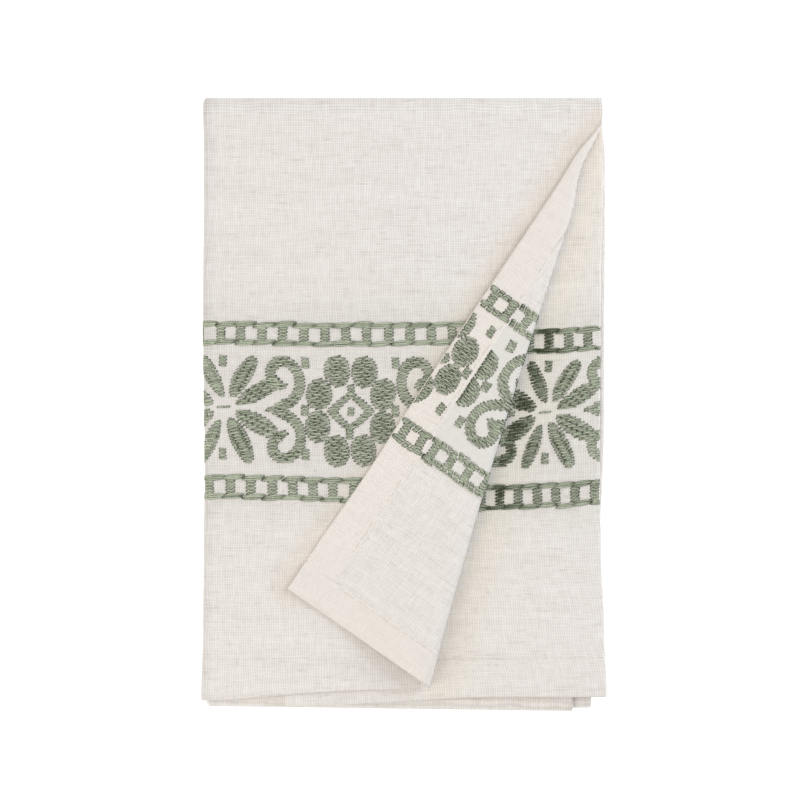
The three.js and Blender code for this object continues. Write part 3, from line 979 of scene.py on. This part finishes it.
def jitter(stitches, amount):
    """Moves the ends and the bow of each stitch a little, as a machine's tension does."""
    return stitches + amount * scatter(stitches.shape) * (1.0, 0.5, 1.0, 0.5, 0.8)


def on_cloth(stitches, centre, scale=1.0, uneven=0.08):
    """A motif's picture as stitches in cloth coordinates, each a little out of place."""
    x0, y0, x1, y1, bow = jitter(stitches, uneven).T
    u, v = centre
    return np.stack([u - x0 * scale, v + y0, u - x1 * scale, v + y1, -bow], axis=1)


def drift(u, v):
    """How far the cloth has given under the needle at a place."""
    du = 0.28 * np.sin(v / 6.5 + u / 23) + 0.16 * np.sin(v / 3.7 - u / 7.1)
    dv = 0.25 * np.sin(u / 9.5 + 1.0) + 0.12 * np.sin(u / 3.9 + v / 11)
    return du, dv


def lengths(stitches):
    """How long each stitch is."""
    u0, v0, u1, v1, _ = stitches.T
    return np.hypot(u1 - u0, v1 - v0)


def middles(stitches):
    """The u and v of each stitch's middle."""
    return ((stitches[:, 0:2] + stitches[:, 2:4]) / 2).T


def clipped(stitches, low, high):
    """The stitches between u = low and high, cut short where they cross those."""
    middle, _ = middles(stitches)
    stitches = stitches.copy()
    stitches[:, [0, 2]] = np.clip(stitches[:, [0, 2]], low, high)
    left = (lengths(stitches) > LEAST_LEFT) & (middle > low - 2) & (middle < high + 2)
    return stitches[left]


def in_loops(stitches):
    """On the wrong side the thread shows as shorter loops, a little out of line."""
    long = lengths(stitches) > LONGEST_LOOP
    parts = [stitches[~long]]
    stitches = stitches[long]
    for k in range(LOOPS):
        low, high = (k + 0.08) / LOOPS, (k + 0.92) / LOOPS
        start = mix(stitches[:, 0:2], stitches[:, 2:4], low)
        end = mix(stitches[:, 0:2], stitches[:, 2:4], high)
        centre = (k + 0.5) / LOOPS
        swell = stitches[:, 4] * (4 * centre * (1 - centre) + LOOP_SPREAD)
        swell = swell * np.sign(stitches[:, 2] - stitches[:, 0])
        parts.append(np.column_stack([start, end, 0 * swell]) + np.outer(swell, (0, 1, 0, 1, 0)))
    return jitter(np.concatenate(parts), 0.07)


def both_sides(stitches, under_shade):
    """Sorts stitches of the pattern onto the right side, the hem and the wrong side.
    The pattern runs on past the free edge, where it is turned over with the hem, and
    its threads show on the wrong side of the corner that is turned over."""
    du, dv = drift(stitches[:, [0, 2]], stitches[:, [1, 3]])
    stitches[:, [0, 2]] += du
    stitches[:, [1, 3]] += dv
    u, v = middles(stitches)
    along, across = from_crease(FREE_EDGE_X - u, HEM_END + v)
    turn = across / (math.pi * roll_radius(along) / 2)
    right = clipped(stitches[(turn < CREASE_SHOWN) | (u > PAST_FACE)], EDGE_BARE, CLOTH_WIDTH)
    hem = clipped(stitches * (-1.0, 1.0, -1.0, 1.0, -1.0), EDGE_BARE, SIDE_HEM - 0.3)
    wrong = clipped(stitches[turn > -1.0], SIDE_HEM + 0.05, BACK_SHOWN)
    under = right[:, 0] > PAST_FACE
    return [(right[~under], RIGHT_SIDE), (right[under], {**RIGHT_SIDE, "shade": under_shade}),
            (in_loops(hem), ON_HEM), (in_loops(wrong), WRONG_SIDE)]


def embroider(name, parts, under_shade=0.0):
    """A piece of embroidery from its stitches in cloth coordinates. under_shade is how
    much deeper in painted shade it is on the ply under the top one."""
    stitches = np.concatenate(parts)
    piece = new_object(name, thread_mesh(name, both_sides(stitches, under_shade)), sage_cotton)
    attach(piece, "root")
    return piece


# ----------------------------------------------------------------- ladder borders
# Two ladders of satin rungs between rails of long overlapping stitches, one above and
# one below the flowers. The rails' stitches are shorter than the space between rungs,
# so the two drift apart along the band.

RUNG_WIDTH = 3.8
RUNG_HEIGHT = 6.2
RAIL_THREADS = 5
RAIL_REACH = 0.53               # half the length of its bundles, as a share of their pitch
RAIL_SLANT = 0.5
RAIL_RISE = 0.16
RAIL_END = 0.40                 # half the height of a rail where its stitches meet
RAIL_SWELL = 0.40               # and how much more it is half-way


def rail(length, swell):
    """One bundle of a rail's long stitches. It rises a little to the right, and its
    ends are cut off at a slant."""
    reach = length * RAIL_REACH
    threads = []
    for k, aside in enumerate(np.linspace(-1, 1, RAIL_THREADS)):
        x, y, bow = RAIL_SLANT * aside, RAIL_END * aside, swell * RAIL_SWELL * aside
        left, right = (-reach + x, y - RAIL_RISE), (reach + x, y + RAIL_RISE)
        threads.append((*right, *left, -bow) if k % 2 else (*left, *right, bow))
    return np.array(threads)


def rungs_along(rails, swayed, first, last, pitch):
    """Rungs between two rails, from u = first up to last."""
    places = np.arange(first, last, pitch)
    places = places + 0.15 * scatter(len(places))
    rung = bar(0.0, 0.0, RUNG_WIDTH, RUNG_HEIGHT)
    return [on_cloth(rung, (u, swayed(u, sum(rails) / 2)), uneven=0.07) for u in places]


def rails_along(rails, swayed, first, last, pitch):
    """Both rails' bundles, the first with its middle at u = first."""
    parts = []
    for v in rails:
        for u in np.arange(first, last, pitch):
            u = u + 0.25 * scatter()
            bundle = rail(pitch * draw.uniform(0.98, 1.1), draw.uniform(0.8, 1.15))
            middle = swayed(u, v) + 0.12 * scatter()
            parts.append(on_cloth(bundle, (u, middle), uneven=0.12))
    return parts


def by_flower(u):
    """Both ladders rise a little between the scrolls and the left leaf flower."""
    return 0.4 * smooth_step(u, 130.0, 148.0)


def upper_sway(u, v):
    """The turned corner has been pulled out of line a little, and so has the cloth by it."""
    turned = 1.7 * (1 - smooth_step(u, 22.0, 44.0)) - 0.3 * smooth_step(u, 120.0, 75.0)
    return v + turned - 0.5 * hump(u - 119.0, 14.0) + by_flower(u)


def lower_sway(u, v):
    """The lower ladder hangs in a long wave."""
    return v + 0.6 * math.cos((u - 155.0) / 50.0 * math.pi) + 0.3 + by_flower(u)


def no_sway(u, v):
    """On the ply under the top one the ladders run straight."""
    return v


# The v of both rails and the sway, then runs of rungs and one of rails: first u, last u
# and pitch. The last two ladders are on the ply under the top one.
LADDERS = (
    ((149.5, 142.2), upper_sway,
     ((-12.4, 6.0, 8.6), (21.0, 46.5, 8.4), (51.3, 173.0, 8.42)), (-13.5, 174.0, 7.79)),
    ((87.9, 80.3), lower_sway,
     ((-11.7, 6.0, 8.0), (17.7, 46.5, 8.4), (50.4, 174.0, 8.15)), (-14.95, 174.0, 7.7)),
    ((150.2, 142.6), no_sway, ((323.0, INNER_SHOWN, 7.75),), (301.0, INNER_SHOWN, 7.5)),
    ((89.0, 81.0), no_sway, ((318.4, INNER_SHOWN, 7.6),), (302.0, INNER_SHOWN, 7.0)),
)
# painted shade on the ladders on the ply under the top one
UNDER_SHADE = 0.13

runs = []
for rails, swayed, rung_runs, rail_run in LADDERS:
    for run in rung_runs:
        runs += rungs_along(rails, swayed, *run)
    runs += rails_along(rails, swayed, *rail_run)
ladders = embroider("ladder_borders", runs, UNDER_SHADE)


# ------------------------------------------------------------------- leaf flowers
# Eight leaves round a bare middle with one short stitch in it, and a small bar above
# and below. The steep leaves lean further out on the right than on the left.

LEAF_FLOWERS = ((151.2, 117.0, 1.0), (54.0, 117.0, 1.0), (338.4, 118.2, 0.94))  # u, v, scale
LEAVES = (                      # root, tip and width
    ((3.0, 4.0), (12.7, 19.5), 6.8),
    ((2.1, -4.2), (11.2, -22.2), 7.0),
    ((0.0, 4.0), (-7.8, 20.0), 5.9),
    ((-1.4, -4.9), (-8.8, -21.8), 5.6),
    ((4.8, 1.2), (22.4, 9.7), 6.3),
    ((4.6, -2.0), (21.0, -11.3), 7.0),
    ((-3.8, 1.5), (-20.4, 9.3), 6.8),
    ((-3.8, -1.7), (-19.4, -11.7), 6.9),
)
LEAF_ROWS = 0.62
LEAF_SHAPE = (1.1, 0.5, 0.27)   # how near its root it is widest, and how pointed each end is
LEAF_BREAK = 4.0                # between the lines where its rows go down
BAR = (3.1, 4.1)


def leaf(root, tip, width):
    """A leaf, narrow at its root and rounder at its tip. Its rows go down along lines
    that run beside its middle."""
    root, tip = np.array(root), np.array(tip)
    length = np.linalg.norm(tip - root)
    axis = (tip - root) / length

    def inside(x, y):
        along = ((x - root[0]) * axis[0] + (y - root[1]) * axis[1]) / length
        aside = np.abs((y - root[1]) * axis[0] - (x - root[0]) * axis[1])
        t = np.clip(along, 0.0, 1.0)
        lead, root_point, tip_point = LEAF_SHAPE
        half = width / 2 * np.sin(math.pi * t ** lead) ** mix(root_point, tip_point, t)
        return (along > 0) & (along < 1) & (aside < half)

    def breaks(y, row):
        centre = root[0] + (y - root[1]) * axis[0] / axis[1]
        lines = centre + LEAF_BREAK * (np.arange(-5, 5) + 0.5) + (0.4 if row % 2 else -0.4)
        return lines + 0.14 * scatter(len(lines))

    low, high = np.minimum(root, tip), np.maximum(root, tip)
    box = (low[0] - width / 2, high[0] + width / 2, low[1] - width / 2, high[1] + width / 2)
    return satin(inside, box, breaks, LEAF_ROWS)


def leaf_flower():
    """Its leaves, its two bars and the short stitch in its middle."""
    parts = [leaf(*shape) for shape in LEAVES]
    short = np.array([(-2.6, -0.05, 0.3, 0.1, 0.0), (-0.4, 0.0, 2.5, 0.1, 0.0)])
    return np.concatenate([*parts, bar(0.2, 18.3, *BAR), bar(-0.2, -18.5, *BAR), short])


leaf_flowers = embroider("leaf_flowers", [
    on_cloth(leaf_flower(), (u, v), scale) for u, v, scale in LEAF_FLOWERS])


# ----------------------------------------------------------------------- rosettes
# Eight round petals on an oval, round an open diamond with a stem above and below and
# a dot in its middle. Four bars stand at its corners and a small one on each side.

ROSETTE_CENTRE = (100.5, 115.2)
# Its halves on the hem and past it, where the cloth has given more: centre and scale
TURNED_HALVES = (((6.3, 117.2), 1.0), ((1.1, 117.2), 1.13))
HALVES_MEET = 8.0
PETAL_RING = (14.0, 17.0)
PETAL_SIZE = (5.2, 6.25)
DIAMOND = ((9.6, 7.9), (5.2, 5.1))
STEM = (3.0, 5.6, 10.8)         # width, and how far up from the middle it runs
TATAMI = 4.2                    # the longest a filling stitch runs before it goes down


def brick(_, row):
    """Breaks every TATAMI, moved on from row to row so that they don't line up."""
    phase = (0.0, 0.5, 0.25, 0.75)[row % 4]
    places = TATAMI * (np.arange(-5, 6) + phase)
    return places + 0.15 * scatter(len(places))


def petal(x, y):
    """A petal, a little squarer than an ellipse."""
    wide, tall = PETAL_SIZE

    def inside(px, py):
        return np.abs((px - x) / wide) ** 2.1 + np.abs((py - y) / tall) ** 2.1 < 1

    return satin(inside, (x - wide, x + wide, y - tall, y + tall), brick)


def diamond():
    """The open diamond, with slightly rounded sides."""
    (wide, tall), (hole_wide, hole_tall) = DIAMOND

    def inside(x, y):
        outer = np.abs(x / wide) ** 1.15 + np.abs(y / tall) ** 1.15
        hole = np.abs(x / hole_wide) ** 1.15 + np.abs(y / hole_tall) ** 1.15
        return (outer < 1) & (hole > 1)

    return satin(inside, (-wide, wide, -tall, tall), brick)


def rosette():
    """The diamond, its dot and stems, the petals and the bars."""
    parts = [diamond(), bar(0.0, 0.0, 2.7, 3.1)]
    for k in range(8):
        angle = math.radians(22.5 + 45 * k)
        parts.append(petal(PETAL_RING[0] * math.cos(angle), PETAL_RING[1] * math.sin(angle)))
    width, low, high = STEM
    for sign in (1, -1):
        parts.append(bar(0.0, sign * (low + high) / 2, width, high - low))
        parts.append(bar(sign * 18.2, 0.0, 3.2, 4.0))
        parts += [bar(sign * 17.7, 0.7 + other * 18.3, *BAR) for other in (1, -1)]
    return np.concatenate(parts)


on_hem, past_hem = [on_cloth(rosette(), *half) for half in TURNED_HALVES]
rosettes = embroider("rosettes", [
    on_cloth(rosette(), ROSETTE_CENTRE),
    on_hem[on_hem[:, 0] < HALVES_MEET],
    past_hem[past_hem[:, 0] > HALVES_MEET],
])


# ------------------------------------------------------------------------- scrolls
# Pairs of C scrolls, one above the other, that meet in a point towards the leaf
# flower. Each is a spiral: wide at the point, round in the middle, tight at its end.

SCROLLS = (
    (127.0, 115.4, 1), (73.7, 115.2, -1), (31.3, 116.6, 1),
    (175.0, 116.0, -1), (315.4, 118.3, 1), (357.0, 118.2, -1),
)
SCROLL_CENTRE = (0.2, 12.0)
SCROLL_START, SCROLL_END = -127.0, 302.0
STROKE = 2.1                    # half the width of the line
SCROLL_LEAN = 0.03              # the lower one stands a little further out


def scroll_line(count=110):
    """The middle of the upper scroll's line and half its width, from its point to its
    inner end. The angle is in degrees, from the right and turning left."""
    angle = np.linspace(SCROLL_START, SCROLL_END, count)
    turn = np.radians(angle)
    reach = 6.5 - 0.6 * np.cos(2 * turn) + 8.0 * np.exp(-(angle - SCROLL_START) / 38)
    reach = reach - 4.3 * smooth_step(angle, 125, 255)
    half = STROKE * smooth_step(angle, -135, -90) * (1 - 0.9 * smooth_step(angle, 205, SCROLL_END))
    return SCROLL_CENTRE[0] + reach * np.cos(turn), SCROLL_CENTRE[1] + reach * np.sin(turn), half


def scroll_pair(facing):
    """The upper scroll and, mirrored, the lower one. facing is 1 or -1, for right or left."""
    line_x, line_y, half = scroll_line()

    def inside(x, y):
        x, y = np.broadcast_arrays((x + SCROLL_LEAN * y) * facing, np.abs(y))
        gap = np.hypot(x[..., None] - line_x, y[..., None] - line_y)
        return (gap < half).any(axis=-1)

    return satin(inside, (-11.0, 11.0, -22.5, 22.5), brick)


scrolls = embroider("scrolls", [
    on_cloth(scroll_pair(facing), (u, v)) for u, v, facing in SCROLLS])


# ------------------------------------------------------------------------ backing
# A thin, smooth, bluish-white non-woven that was ironed to the wrong side before the
# band was embroidered. It shows where the corner is turned over.

BACKING = (78.6, 152.2)         # from v to v
BACKING_THICKNESS = 0.10
BACKING_ROWS = 64
BACKING_COLUMNS = 70            # the cloth's own columns, as far as over the crease

bm, u, v, wrong_side = flat_shell(
    np.linspace(*BACKING, BACKING_ROWS), lambda v: column_places(v)[1:BACKING_COLUMNS])
u = np.maximum(u, SIDE_HEM - 1.0)
w = HEM_LEVEL + np.where(wrong_side, BACKING_THICKNESS, 0.02)
backing_mesh = folded_mesh("backing", bm, u, v, w)


def non_woven():
    """Spun polyester non-woven: smooth, white and faintly cloudy."""
    material, node = new_material("white spun non-woven")
    flat = node("UVMap", {"uv_map": "flat cloth"})
    cloudy = node("TexNoise", {"noise_dimensions": "2D"}, Vector=flat, Scale=0.5, Detail=4.0)
    colour = node("Mix", {"data_type": "RGBA"}, _0=cloudy,
                  _6=linear("#eae6e0"), _7=linear("#dcd8d2"))
    bump = node("Bump", Strength=0.3, Distance=0.0001, Height=cloudy)
    felt = node("BsdfPrincipled", Base_Color=colour.outputs[2], Roughness=0.8, Normal=bump)
    node("OutputMaterial", Surface=felt)
    return material


backing = new_object("backing", backing_mesh, non_woven())
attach(backing, "root")
